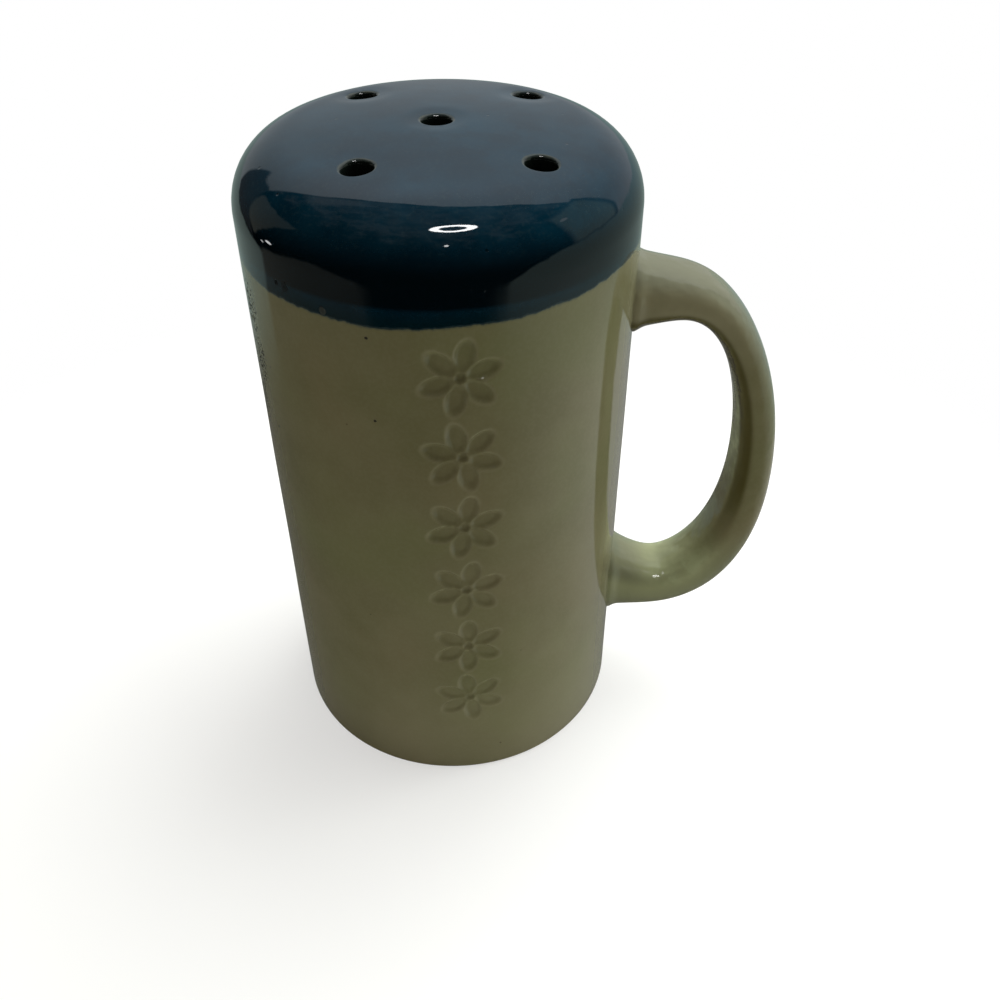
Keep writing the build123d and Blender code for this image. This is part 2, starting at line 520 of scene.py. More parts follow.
KILN_SKIN = kiln_skin()
print("group", KILN_SKIN.name, "has sockets", [item.name for item in KILN_SKIN.interface.items_tree])

# %% [markdown]
# The top was dipped, upside down, into the blue glaze. The line that the bath left is nearly level: it
# tilts and bows up a little towards the handle, it wavers by half a millimetre, and the glaze is thin
# just above it. A pale painted highlight runs along the line itself.

# %% Dipped edge group
WAVER_PER_METRE = 55.0
RAGGED_PER_METRE = 700.0
RAGGED_HEIGHT = 0.9 * MM
# Heights over the line between which each mask changes
DIP_STEP = (-0.07 * MM, 0.07 * MM)
THIN_RIM = (0.5 * MM, 4.0 * MM)
# The pale line is a painted highlight along the edge of the dip
EDGE_HIGHLIGHT_BAND = (0.05 * MM, 0.45 * MM)


def dipped_edge():
    """Where the blue glaze lies, its thin rim, and a painted highlight right at its edge."""
    inputs = {"Place": "Vector", "Line Height": "Float", "Tilt": "Float", "Bow": "Float", "Waver": "Float"}
    tree, given, made = new_group("dipped_edge", "ShaderNodeTree", inputs,
                                  {"Dipped": "Float", "Thin": "Float", "Edge": "Float"})
    axes = parts_of(given["Place"])
    waver = (clouds(level_part(axes), WAVER_PER_METRE) - 0.5) * given["Waver"]
    rise = axes["X"] * (axes["X"] * given["Bow"] + given["Tilt"])
    ragged = clouds(given["Place"], RAGGED_PER_METRE, 3.0, 0.6) - 0.5
    line = ragged * RAGGED_HEIGHT + (given["Line Height"] + rise + waver)
    above = axes["Z"] - line
    made["Dipped"] = fade(above, *DIP_STEP)
    made["Thin"] = fade(above, *THIN_RIM, 1.0, 0.0)
    made["Edge"] = fade(abs(above), *EDGE_HIGHLIGHT_BAND, 1.0, 0.0)
    return tree


DIPPED_EDGE = dipped_edge()
print("group", DIPPED_EDGE.name, "built")

# %% [markdown]
# A few marks are this pot's own: a chip on the edge of the dip, a burst bubble, two pinholes, and a
# streak of dark specks on the far left. One group makes a ragged spot or a cluster of specks round a
# point, and each mark is one use of it.

# %% Ragged spot group
SPECKS_PER_METRE = 1700.0
SPOT_WAVES = 1.6


def ragged_spot():
    """A spot with an uneven outline, or a cluster of specks that thins out from its middle, as a mask."""
    inputs = {"Place": "Vector", "Middle": "Vector", "Radius": "Float", "Tallness": "Float", "Grit": "Float"}
    tree, given, made = new_group("ragged_spot", "ShaderNodeTree", inputs, {"Mask": "Float"})
    place, radius, grit = given["Place"], given["Radius"], given["Grit"]
    gap = parts_of(vector_calc("SUBTRACT", place, given["Middle"]))
    aside = root_of_squares(gap["X"], gap["Y"])
    off = root_of_squares(aside, gap["Z"] / given["Tallness"]) / radius
    ragged_off = off + (clouds(place, SPOT_WAVES / radius) - 0.5)
    spot = fade(ragged_off, 0.75, 1.0, 1.0, 0.0)
    distance, chance = cells(place, SPECKS_PER_METRE)
    kept = calc("LESS_THAN", chance, fade(ragged_off, 0.0, 1.2, 0.95, 0.0))
    specks = fade(distance, 0.35, 0.60, 1.0, 0.0) * kept
    made["Mask"] = larger(specks * grit, spot * (1.0 - grit))
    return tree


RAGGED_SPOT = ragged_spot()
print("group", RAGGED_SPOT.name, "built")

# %% [markdown]
# ## Glaze materials
# Glaze is coloured glass over clay, so a Principled shader with the gloss of glass does most of the work.
# The wall and the top share one material, because the dipped line crosses the joint between them. The
# foot ring is wiped bare, as every foot is that stands on a kiln shelf.

# %% Colours
SAGE = (0.180, 0.171, 0.096, 1)
SAGE_DARK = (0.146, 0.141, 0.072, 1)
SAGE_GREEN = (0.162, 0.174, 0.080, 1)
SAGE_LOW_GREEN_AND_LIGHT = (0.265, 0.285, 0.158, 1)
SAGE_PAINTED_LIGHT = (0.370, 0.408, 0.245, 1)
SAGE_GREY_SHADE = (0.134, 0.137, 0.094, 1)
SAGE_BROWN = (0.196, 0.166, 0.098, 1)
SAGE_FLANK_SHADE = (0.072, 0.062, 0.020, 1)
SAGE_PALE = (0.235, 0.222, 0.140, 1)
LIP_BROWN = (0.060, 0.062, 0.042, 1)
BORE_PAINTED_SHADE = (0.004, 0.006, 0.005, 1)
BLUE = (0.0022, 0.0245, 0.0440, 1)
BLUE_DARK = (0.0010, 0.0115, 0.0220, 1)
# Near-black blue, for the painted dark band on the shoulder and for the pinholes
BLUE_SHADE_AND_PINHOLES = (0.0010, 0.0040, 0.0065, 1)
BLUE_THIN = (0.0018, 0.0125, 0.0185, 1)
# Pale specks in the blue, and the painted highlight along the dipped edge
BLUE_SPECKS_AND_EDGE_HIGHLIGHT = (0.050, 0.072, 0.070, 1)
PIT = (0.020, 0.018, 0.012, 1)
CHIP = (0.028, 0.035, 0.032, 1)
BURST = grey(0.0012)
CLAY = (0.480, 0.390, 0.270, 1)
CLAY_DARK = (0.340, 0.260, 0.170, 1)
print("colours mixed")


# %% Material helpers
# Sizes of the mottling and the grain, in bumps per metre
SAGE_MOTTLES = 28.0
SAGE_GRAIN = 1300.0
CLAY_GRAIN = 1400.0


def start_material(name):
    """A material with a Principled shader on its output; gives it, the shader and Object coordinates."""
    material = bpy.data.materials.new(name)
    tree = clear_tree(material)
    shader = Node(tree, "ShaderNodeBsdfPrincipled")
    put(tree, "ShaderNodeOutputMaterial", Surface=shader[0])
    return material, shader, put(tree, "ShaderNodeTexCoord")["Object"]


def add_group(group, place, **inputs):
    """A node group placed in a material with its own values."""
    return put(place.tree, "ShaderNodeGroup", {"node_tree": group}, Place=place, **inputs)


def attribute(tree, name):
    """A value that the mesh carries."""
    return put(tree, "ShaderNodeAttribute", {"attribute_name": name})["Fac"]


def bump_from(shader, height, reach):
    """Gives a shader its small relief."""
    bump = put(shader.tree, "ShaderNodeBump", Strength=1.0, Distance=reach, Height=height)
    shader["Normal"] = bump["Normal"]


def sage_colour(skin, place):
    """Sage glaze: mottled from brown to green, darker where it is thick, with dark pinholes."""
    thick = tint(ramp(skin["Clouding"], -1.0, 1.0), SAGE, SAGE_DARK)
    warmth = clouds(place, SAGE_MOTTLES)
    mottled = tint(fade(warmth, 0.50, 0.68, 0.0, 0.45), thick, SAGE_GREEN)
    mottled = tint(fade(warmth, 0.50, 0.34, 0.0, 0.3), mottled, SAGE_BROWN)
    grain = fade(clouds(place, SAGE_GRAIN), 0.42, 0.64, 0.0, 0.09)
    return tint(skin["Pinhole"], tint(grain, mottled, SAGE_PALE), PIT)


def bare_clay(place):
    """Unglazed buff stoneware with a fine grain."""
    return tint(ramp(clouds(place, CLAY_GRAIN, 3.0, 0.7), 0.35, 0.7), CLAY, CLAY_DARK)


print("material helpers ready")

# %% Two-tone glaze
BATH_LINE = GLAZE_LINE + 0.1 * MM
BATH_TILT = 0.022
BATH_BOW = 1.1
BATH_WAVER = 1.6 * MM
CLOUD_SIZE = 22 * MM
SAGE_PINHOLES, BLUE_PINHOLES = 0.012, 0.05
SAGE_ROUGHNESS, BLUE_ROUGHNESS = 0.065, 0.035
SPOT_ROUGHNESS = 0.9
CLAY_ROUGHNESS = 0.85
SKIN_RELIEF = 0.09 * MM
BLUE_MOTTLES = 150.0
BLUE_GRAIN = 1500.0
LIP_PATCHES = 500.0
# Heights where a finish changes: the wiped foot, painted bounce light towards it, a painted dark band in the
# blue
FOOT_WIPED = (0.25 * MM, 0.6 * MM)
FOOT_BOUNCE_LIGHT = (4 * MM, 45 * MM)
# Where the painted dark band across the blue shoulder starts and ends
DARK_BAND_STARTS = (GLAZE_LINE + 3.0 * MM, GLAZE_LINE + 4.0 * MM)
DARK_BAND_ENDS = (GLAZE_LINE + 9.0 * MM, GLAZE_LINE + 15.0 * MM)
# Marks: azimuth in degrees from the handle, height and radius in millimetres, tallness, grit and colour
SPOTS = (
    (-118.2, 125.0, 0.8, 1.0, 0.0, CHIP),
    (-134.0, 127.0, 0.6, 1.0, 0.0, BURST),
    (-130.8, 127.0, 1.1, 1.0, 0.6, BURST),
    (-106.4, 121.5, 0.35, 1.0, 0.0, PIT),
    (-106.1, 104.2, 0.35, 1.0, 0.0, PIT),
    (-155.5, 115.5, 4.0, 1.5, 1.0, PIT),
    (-153.5, 104.5, 4.8, 1.5, 1.0, PIT),
    (-158.0, 95.0, 3.6, 1.8, 1.0, PIT),
)


def around(radius, angle, height=0.0):
    """Point at a radius from the axis, an angle from the handle and a height."""
    return Vector((radius * cos(angle), radius * sin(angle), height))


def on_wall(azimuth, height):
    """Point of the outside wall at an azimuth in degrees and a height."""
    radius = BASE_RADIUS - (BASE_RADIUS - SHOULDER_RADIUS) * height / HEIGHT
    return around(radius, radians(azimuth), height)


def add_spots(place, colour, roughness):
    """Paints the ragged, rough marks over a colour and a roughness."""
    for azimuth, height, radius, tallness, grit, paint in SPOTS:
        spot = add_group(RAGGED_SPOT, place, Middle=on_wall(azimuth, height * MM), Radius=radius * MM,
                         Tallness=tallness, Grit=grit)["Mask"]
        colour = tint(spot, colour, paint)
        roughness = ramp(spot, 0.0, 1.0, roughness, SPOT_ROUGHNESS)
    return colour, roughness


def blue_colour(skin, dip, place, height):
    """Blue glaze: mottled, with a painted dark band on the shoulder, thin at the line, brown at the hole
    lips, and painted shade down the holes.
    """
    blue = tint(ramp(skin["Clouding"], -1.0, 1.0), BLUE, BLUE_DARK)
    blue = tint(fade(clouds(place, BLUE_MOTTLES, 3.0, 0.65), 0.45, 0.65, 0.0, 0.5), blue, BLUE_DARK)
    blue = tint(fade(clouds(place, BLUE_GRAIN), 0.50, 0.75, 0.0, 0.09), blue, BLUE_SPECKS_AND_EDGE_HIGHLIGHT)
    # A painted dark band: the lower shoulder is darkened as if its gloss showed the dark side of the room
    dark_band = fade(height, *DARK_BAND_STARTS) * fade(height, *DARK_BAND_ENDS, 1.0, 0.0)
    blue = tint(dark_band, blue, BLUE_SHADE_AND_PINHOLES)
    blue = tint(dip["Thin"], blue, BLUE_THIN)
    blue = tint(skin["Pinhole"] * 0.7, blue, BLUE_SHADE_AND_PINHOLES)
    lip = attribute(place.tree, "hole_lip")
    blue = tint(fade(lip, 0.1, 0.5) * clouds(place, LIP_PATCHES), blue, LIP_BROWN)
    # Painted shade down the bores and over the inner half of each lip
    return tint(fade(lip, 0.5, 0.9), blue, BORE_PAINTED_SHADE)


def two_tone_glaze():
    """Sage below the dipped line, blue above it, and bare clay under the foot."""
    material, shader, place = start_material("two_tone_glaze")
    dip = add_group(DIPPED_EDGE, place, Line_Height=BATH_LINE, Tilt=BATH_TILT, Bow=BATH_BOW,
                    Waver=BATH_WAVER)
    skin = add_group(KILN_SKIN, place, Cloud_Size=CLOUD_SIZE,
                     Pinholes=ramp(dip["Dipped"], 0.0, 1.0, SAGE_PINHOLES, BLUE_PINHOLES))
    height = parts_of(place)["Z"]
    sage = tint(attribute(place.tree, "stamp_rim") * 0.4, sage_colour(skin, place), SAGE_PALE)
    # Painted bounce light: the sage is paler towards the foot
    sage = tint(fade(height, *FOOT_BOUNCE_LIGHT, 0.42, 0.0), sage, SAGE_PALE)
    colour = tint(dip["Dipped"], sage, blue_colour(skin, dip, place, height))
    # A painted highlight along the dipped edge
    colour = tint(dip["Edge"] * 0.5, colour, BLUE_SPECKS_AND_EDGE_HIGHLIGHT)
    roughness = ramp(dip["Dipped"], 0.0, 1.0, SAGE_ROUGHNESS, BLUE_ROUGHNESS)
    colour, roughness = add_spots(place, colour, roughness)
    foot = fade(height, *FOOT_WIPED, 1.0, 0.0)
    shader["Base Color"] = tint(foot, colour, bare_clay(place))
    shader["Roughness"] = ramp(foot, 0.0, 1.0, roughness, CLAY_ROUGHNESS)
    bump_from(shader, skin["Height"], SKIN_RELIEF)
    return material


TWO_TONE_GLAZE = two_tone_glaze()
print("material", TWO_TONE_GLAZE.name, "with", len(TWO_TONE_GLAZE.node_tree.nodes), "nodes")

# %% [markdown]
# The handle's glaze is the wall's sage again: thin and pale on the upper arm, and greener low down, where
# it is also made paler as painted light. Painted light lies in patches on the lower arm's top and on the
# ear's inner face. Painted shade darkens the ear's inner flank and the underside of the upper arm. A grey
# painted shade lies on the upper arm's top, the lower arm's lower rim and near the lower root. The
# handle's mesh carries a mask for each of these places.

# %% Handle glaze
HANDLE_CLOUD_SIZE = 18 * MM
HANDLE_PINHOLES = 0.03
HANDLE_ROUGHNESS = (0.03, 0.06)
# Heights between which the greener glaze low down, made paler as painted light, ends and the thin glaze
# starts
HANDLE_LOW_GREEN_AND_LIGHT = (30 * MM, 52 * MM)
HANDLE_THIN = (92 * MM, 110 * MM)
LIGHT_PATCHES = 190.0
DENTS_PER_METRE = 150.0
DENT_SHARE = 7.0
HANDLE_RELIEF = 0.08 * MM


def sage_glaze():
    """The handle's glaze: sage, greener and made paler low down, with painted light and painted shade."""
    material, shader, place = start_material("sage_handle_glaze")
    skin = add_group(KILN_SKIN, place, Cloud_Size=HANDLE_CLOUD_SIZE, Pinholes=HANDLE_PINHOLES)
    height = parts_of(place)["Z"]
    # Greener low down, and paler there as painted light on the lower arm
    sage = tint(fade(height, *HANDLE_LOW_GREEN_AND_LIGHT, 0.9, 0.0), sage_colour(skin, place), SAGE_LOW_GREEN_AND_LIGHT)
    sage = tint(fade(height, *HANDLE_THIN, 0.0, 0.9), sage, SAGE_PALE)
    # Grey painted shade on the upper arm's top, the lower arm's lower rim and near the lower root
    sage = tint(attribute(place.tree, "glaze_crest"), sage, SAGE_GREY_SHADE)
    # Painted light, broken into patches, on the lower arm's top and the ear's inner face
    patches = fade(clouds(place, LIGHT_PATCHES, 3.0, 0.6), 0.40, 0.60, 0.45, 1.0)
    sage = tint(attribute(place.tree, "glaze_pool") * patches, sage, SAGE_PAINTED_LIGHT)
    # Painted shade along the ear's inner flank and under the upper arm
    shader["Base Color"] = tint(attribute(place.tree, "inner_flank"), sage, SAGE_FLANK_SHADE)
    shader["Roughness"] = ramp(skin["Clouding"], -1.0, 1.0, *HANDLE_ROUGHNESS)
    dents = clouds(place, DENTS_PER_METRE, 2.0, 0.55) * DENT_SHARE
    bump_from(shader, dents + skin["Height"], HANDLE_RELIEF)
    return material


SAGE_GLAZE = sage_glaze()
print("material", SAGE_GLAZE.name)

# %% [markdown]
# ## The wall
# The wall is a thrown tube, so it is a lathed outline. The stamped marks on its front need a fine mesh,
# and the rest doesn't: the columns stand half a degree apart at the front and widen step by step towards
# the back.

# %% Columns round the pot
STAMP_AZIMUTH = radians(-83)
STAMP_HALF_ANGLE = radians(13)
FINE_STEP = radians(0.5)
COARSE_STEP = radians(3.4)
STEP_GROWTH = 1.16


def column_angles():
    """Angles round the axis, close together at the stamped front and wide apart behind."""
    offsets = [0.0]
    step = FINE_STEP
    while offsets[-1] < pi:
        if offsets[-1] > STAMP_HALF_ANGLE:
            step = min(step * STEP_GROWTH, COARSE_STEP)
        offsets.append(offsets[-1] + step)
    fit = pi / offsets[-1]
    turns = [offset * fit for offset in offsets]
    turns += [-turn for turn in turns[1:-1]]
    return [STAMP_AZIMUTH + turn for turn in sorted(turns)]


COLUMNS = column_angles()
print(len(COLUMNS), "columns")

# %% Outline of the pot
STRAIGHT_ROWS = 8


class PotOutline:
    """A straight leaning wall, a rounded shoulder and a shallow crown, as radius and height."""

    def __init__(self, inset, shoulder_round):
        self.base = BASE_RADIUS - inset
        corner = SHOULDER_RADIUS - inset
        self.crown = CROWN_RADIUS - inset
        self.round = shoulder_round
        self.low = HEIGHT - CROWN_RADIUS
        self.lean = atan2(self.base - corner, self.on_crown(corner))
        flat, steep = cos(self.lean), sin(self.lean)
        across = self.base * flat - shoulder_round
        up = self.low * flat + sqrt((self.crown - shoulder_round) ** 2 - (across - self.low * steep) ** 2)
        self.centre = (across * flat - up * steep, across * steep + up * flat)
        self.crown_turn = atan2(self.centre[1] - self.low, self.centre[0])

    def wall_radius(self, height):
        """Radius of the straight wall at a height."""
        return self.base - height * tan(self.lean)

    def on_crown(self, radius):
        """Height at which the crown's sphere reaches a radius."""
        return self.low + sqrt(self.crown**2 - radius**2)

    def on_round(self, turn):
        """Point of the shoulder, turned up from the horizontal."""
        return (self.centre[0] + self.round * cos(turn), self.centre[1] + self.round * sin(turn))

    def height_at(self, radius):
        """Height of shoulder or crown over a radius inside the wall."""
        if radius > self.on_round(self.crown_turn)[0]:
            reach = min(radius - self.centre[0], self.round)
            return self.centre[1] + sqrt(self.round**2 - reach**2)
        return self.on_crown(radius)

    def shoulder_rows(self, edge_radius, steps):
        """Rows from the joint up and over the shoulder to a radius on its upper part."""
        rise = (self.on_round(self.lean)[1] - GLAZE_LINE) / STRAIGHT_ROWS
        straight = [GLAZE_LINE + rise * step for step in range(STRAIGHT_ROWS)]
        end_turn = atan2(self.height_at(edge_radius) - self.centre[1], edge_radius - self.centre[0])
        turns = [self.lean + (end_turn - self.lean) * step / steps for step in range(steps + 1)]
        wall_rows = [(self.wall_radius(height), height) for height in straight]
        return wall_rows + [self.on_round(turn) for turn in turns]


OUTSIDE = PotOutline(0.0, SHOULDER_ROUND)
INSIDE = PotOutline(WALL, SHOULDER_ROUND - WALL)
print(f"shoulder starts at {OUTSIDE.on_round(OUTSIDE.lean)[1] / MM:.1f} mm")

# %% Lathe and finishing helpers
HAND_SWELL = 0.10 * MM
HAND_SWELL_SIZE = 30 * MM
SHARP_ANGLE = 50


def hand_swell(point):
    """How far a hand-made surface strays outwards at a point."""
    return HAND_SWELL * noise.noise(point / HAND_SWELL_SIZE)


def ring(skin, radius, height, angles=COLUMNS, stray=hand_swell):
    """One ring of vertices round the axis, which strays outwards as the surface does."""
    points = [around(radius, angle, height) for angle in angles]
    return [skin.verts.new(point + around(stray(point), angle)) for angle, point in zip(angles, points)]


def join_rings(skin, lower, upper):
    """A band of quads between two rings; faces point away from the axis when upper is above lower."""
    for index in range(len(lower)):
        after = (index + 1) % len(lower)
        skin.faces.new((lower[index], lower[after], upper[after], upper[index]))


def join_all(skin, rings):
    """Bands of quads from each ring to the next."""
    for lower, upper in zip(rings, rings[1:]):
        join_rings(skin, lower, upper)


def quarter_round(radius, height, size, start, steps):
    """Points of a quarter circle round a middle at a radius and a height, from a start in degrees."""
    turns = [radians(start + 90 * step / steps) for step in range(steps + 1)]
    return [(radius + size * cos(turn), height + size * sin(turn)) for turn in turns]


def finish_piece(skin, name, material, sharp=SHARP_ANGLE):
    """Turns a bmesh into a smooth object with one material; edges past the sharp angle stay crisp."""
    mesh = bpy.data.meshes.new(name)
    skin.to_mesh(mesh)
    skin.free()
    mesh.materials.append(material)
    mesh.shade_smooth()
    mesh.set_sharp_from_angle(angle=radians(sharp))
    return add_object(name, mesh)


def lathed(name, outline, material):
    """A piece turned from a closed outline of radii and heights."""
    skin = bmesh.new()
    rings = [ring(skin, radius, height) for radius, height in outline]
    join_all(skin, rings + rings[:1])
    return finish_piece(skin, name, material)


def triangles(piece):
    """How many triangles a mesh object has."""
    piece.data.calc_loop_triangles()
    return len(piece.data.loop_triangles)


print("lathe helpers ready")

# %% Wall blank
FOOT_ROUND = 1.0 * MM
FOOT_STEPS = 5
PLAIN_ROWS = 10
INNER_ROWS = 12
STAMP_LOW = 15 * MM
STAMP_HIGH = GLAZE_LINE - 1.5 * MM
ROW_STEP = 0.36 * MM


def wall_blank():
    """The plain tube with its foot ring, closed at both ends."""
    foot = INSIDE.wall_radius(0)
    outline = [(foot, 0.0), ((foot + BASE_RADIUS) / 2, 0.0)]
    outline += quarter_round(BASE_RADIUS - FOOT_ROUND, FOOT_ROUND, FOOT_ROUND, -90, FOOT_STEPS)
    plain = [FOOT_ROUND + (STAMP_LOW - FOOT_ROUND) * step / PLAIN_ROWS for step in range(1, PLAIN_ROWS)]
    rows = round((STAMP_HIGH - STAMP_LOW) / ROW_STEP)
    stamped = [STAMP_LOW + (STAMP_HIGH - STAMP_LOW) * step / rows for step in range(rows + 1)]
    outline += [(OUTSIDE.wall_radius(height), height) for height in plain + stamped + [GLAZE_LINE]]
    inner = [GLAZE_LINE * (1 - step / INNER_ROWS) for step in range(INNER_ROWS)]
    outline += [(INSIDE.wall_radius(height), height) for height in inner]
    return lathed("wall", outline, TWO_TONE_GLAZE)


wall = wall_blank()
print("wall blank:", triangles(wall), "triangles")

# %% [markdown]
# ### Stamped marks
# A column of six rosettes is pressed into the front, each with six petals and a dot. They could be carved
# with cutters, but clay gives way softly. A Geometry Nodes tree works out for each point of the wall how
# far inside a petal it is, and presses the clay in there. The stamp was held by hand, so every mark is
# turned a little, and the lower ones are shallower. The tree also marks the rims of the petals, where
# glaze runs thin and turns pale.

# %% Stamp tree
MARKS = 6
PETAL_ANGLE = radians(60)
TURN_SEED = 7
RIM_PLACE = 1.22
OUTER_SHARE = 0.95
# Whole turns and half a petal, which keep an angle above zero and a petal's middle at its cell's middle
PETAL_SHIFT = 4 * pi + PETAL_ANGLE / 2
STAMP_SIZES = {
    "Azimuth": STAMP_AZIMUTH,
    "Radius": BASE_RADIUS,
    "Lowest": 18.2 * MM,
    "Pitch": 17.4 * MM,
    "Count": float(MARKS),
    "Petal Middle": 4.5 * MM,
    "Petal Half Length": 3.1 * MM,
    "Petal Half Width": 1.75 * MM,
    "Dot": 1.0 * MM,
    "Soft": 0.30,
    "Deep": 0.90 * MM,
    "Shallow": 0.70 * MM,
    "Turn": radians(14),
}


def store(geometry, name, value):
    """Keeps a value on the points of a mesh, for its material to read."""
    return put(geometry.tree, "GeometryNodeStoreNamedAttribute", {"data_type": "FLOAT", "domain": "POINT"},
               Geometry=geometry, Name=name, Value=value)[0]


def finish_tree(given, made, geometry):
    """Ends a geometry tree in plain geometry with its glaze."""
    real = put(geometry.tree, "GeometryNodeRealizeInstances", Geometry=geometry)[0]
    glazed = put(geometry.tree, "GeometryNodeSetMaterial", Geometry=real, Material=given["Glaze"])
    made["Geometry"] = glazed[0]


def petal_distance(given, across, up, turn):
    """Distance from the nearest petal or the dot of a mark: 1 at its outline, less inside."""
    out = root_of_squares(across, up)
    angle = calc("ARCTAN2", across, up) + turn + PETAL_SHIFT
    in_petal = calc("MODULO", angle, PETAL_ANGLE) - PETAL_ANGLE / 2
    along = out * calc("COSINE", in_petal) - given["Petal Middle"]
    aside = out * calc("SINE", in_petal)
    petal = root_of_squares(along / given["Petal Half Length"], aside / given["Petal Half Width"])
    return calc("MINIMUM", petal, out / given["Dot"])


def stamp_tree():
    """Presses rosettes into whatever mesh it is given, in a column up the wall."""
    inputs = {"Geometry": "Geometry", **dict.fromkeys(STAMP_SIZES, "Float"), "Glaze": "Material"}
    tree, given, made = new_group("stamped_rosettes", "GeometryNodeTree", inputs, {"Geometry": "Geometry"})
    axes = parts_of(Node(tree, "GeometryNodeInputPosition")[0])
    across = (calc("ARCTAN2", axes["Y"], axes["X"]) - given["Azimuth"]) * given["Radius"]
    climbed = (axes["Z"] - given["Lowest"]) / given["Pitch"]
    number = calc("FLOOR", climbed)
    up = (climbed - number - 0.5) * given["Pitch"]
    # A Random Value node keeps the limits of a float in inputs 2 and 3, and puts it out as output 1
    turn = put(tree, "FunctionNodeRandomValue", {"data_type": "FLOAT"}, ID=number, Seed=TURN_SEED)
    turn[2], turn[3] = given["Turn"] * -1.0, given["Turn"]
    nearest = petal_distance(given, across, up, turn[1])
    pressed = fade(nearest, 1.0 - given["Soft"], 1.0 + given["Soft"], 1.0, 0.0)
    rim = fade(abs(nearest - RIM_PLACE), 0.04, 0.22, 1.0, 0.0)
    in_column = calc("GREATER_THAN", climbed, 0.0) * calc("LESS_THAN", climbed, given["Count"])
    outside = calc("GREATER_THAN", root_of_squares(axes["X"], axes["Y"]), given["Radius"] * OUTER_SHARE)
    here = in_column * outside
    depth = ramp(climbed, 0.0, given["Count"], given["Shallow"], given["Deep"]) * pressed * here
    outwards = vector_calc("NORMALIZE", level_part(axes))
    marked = store(given["Geometry"], "stamp_rim", rim * here)
    moved = put(tree, "GeometryNodeSetPosition", Geometry=marked, Offset=scaled(outwards, depth * -1.0))[0]
    finish_tree(given, made, moved)
    return tree


print("petals every", round(PETAL_ANGLE * 180 / pi), "degrees")


# %% Stamped wall
def run_tree(piece, tree, values):
    """Runs a Geometry Nodes tree on a piece with named values, and keeps the result as its plain mesh."""
    modifier = piece.modifiers.new(tree.name, "NODES")
    modifier.node_group = tree
    for item in tree.interface.items_tree:
        if item.in_out == "INPUT" and item.name in values:
            modifier[item.identifier] = values[item.name]
    evaluated = piece.evaluated_get(bpy.context.evaluated_depsgraph_get())
    mesh = bpy.data.meshes.new_from_object(evaluated)
    piece.modifiers.remove(modifier)
    blank = piece.data
    piece.data = mesh
    bpy.data.meshes.remove(blank)
    mesh.name = piece.name


run_tree(wall, stamp_tree(), {**STAMP_SIZES, "Glaze": TWO_TONE_GLAZE})
print("wall with", MARKS, "marks:", triangles(wall), "triangles")

# %% [markdown]
# ## The perforated top
# The top is lathed too, up to the edge of its crown. The crown itself has five holes in hand-punched
# places, which no lathe can make. It is a sheet of triangles with rings round the holes, and each ring
# rolls over a soft lip into its bore, because the glaze rounds every edge.

# %% Holes
HOLE_RADIUS = 2.75 * MM
HOLE_LIP = 0.95 * MM
HOLE_SEGMENTS = 56
HOLE_UNEVEN = 0.07
HOLE_NOISE_STEP = 3.0
DISH_DEPTH = 0.16 * MM
DISH_SIZE = 1.9 * MM
# Distance from the axis in millimetres, and azimuth in degrees from the handle
HOLE_PLACES = ((0.0, 0.0), (25.0, 46.0), (23.6, 132.0), (24.2, 238.5), (26.2, 316.5))
HOLES = [around(far * MM, radians(turn)).to_2d() for far, turn in HOLE_PLACES]


def hole_radius(number, angle):
    """A punched hole isn't quite round, and no two are alike."""
    return HOLE_RADIUS * (1 + HOLE_UNEVEN * noise.noise(around(1.0, angle, HOLE_NOISE_STEP * number)))


def dished(point):
    """How far the clay sags round the holes at a point of the crown."""
    past = [max((point - centre).length - HOLE_RADIUS - HOLE_LIP, 0.0) for centre in HOLES]
    return sum(DISH_DEPTH * exp(-((gap / DISH_SIZE) ** 2)) for gap in past)


def crown_height(point):
    """Height of the outside over a point of the plan."""
    return OUTSIDE.height_at(point.length) - dished(point)


def hollow_height(point):
    """Height of the inside over a point of the plan."""
    return INSIDE.height_at(point.length)


print(len(HOLES), "holes of about", 2 * HOLE_RADIUS / MM, "mm")

# %% Crown sheets
SHEET_EDGE = 33.0 * MM
SHEET_STEP = 0.75 * MM
INNER_EDGE = 30.0 * MM
INNER_STEP = 2.5 * MM
# The first point, which stands beside the middle hole
FIRST_POINT = Vector((6.0 * MM, 0.0))
# Least gap between a hole and the points round it, as a share of the step
HOLE_MARGIN = 0.6
# A triangle whose middle is nearer to a hole's middle than this share of its radius lies in the hole
INSIDE_HOLE = 0.97
MERGE_DISTANCE = 1e-9


def sheet_points(edge, step, hole_reach):
    """Points on rings inside an edge, clear of the holes."""
    points = [FIRST_POINT]
    for row in range(1, int(edge / step)):
        radius = edge - row * step
        count = max(int(2 * pi * radius / step), 3)
        for index in range(count):
            point = around(radius, 2 * pi * (index + 0.5 * (row % 2)) / count).to_2d()
            if all((point - centre).length > hole_reach + HOLE_MARGIN * step for centre in HOLES):
                points.append(point)
    return points


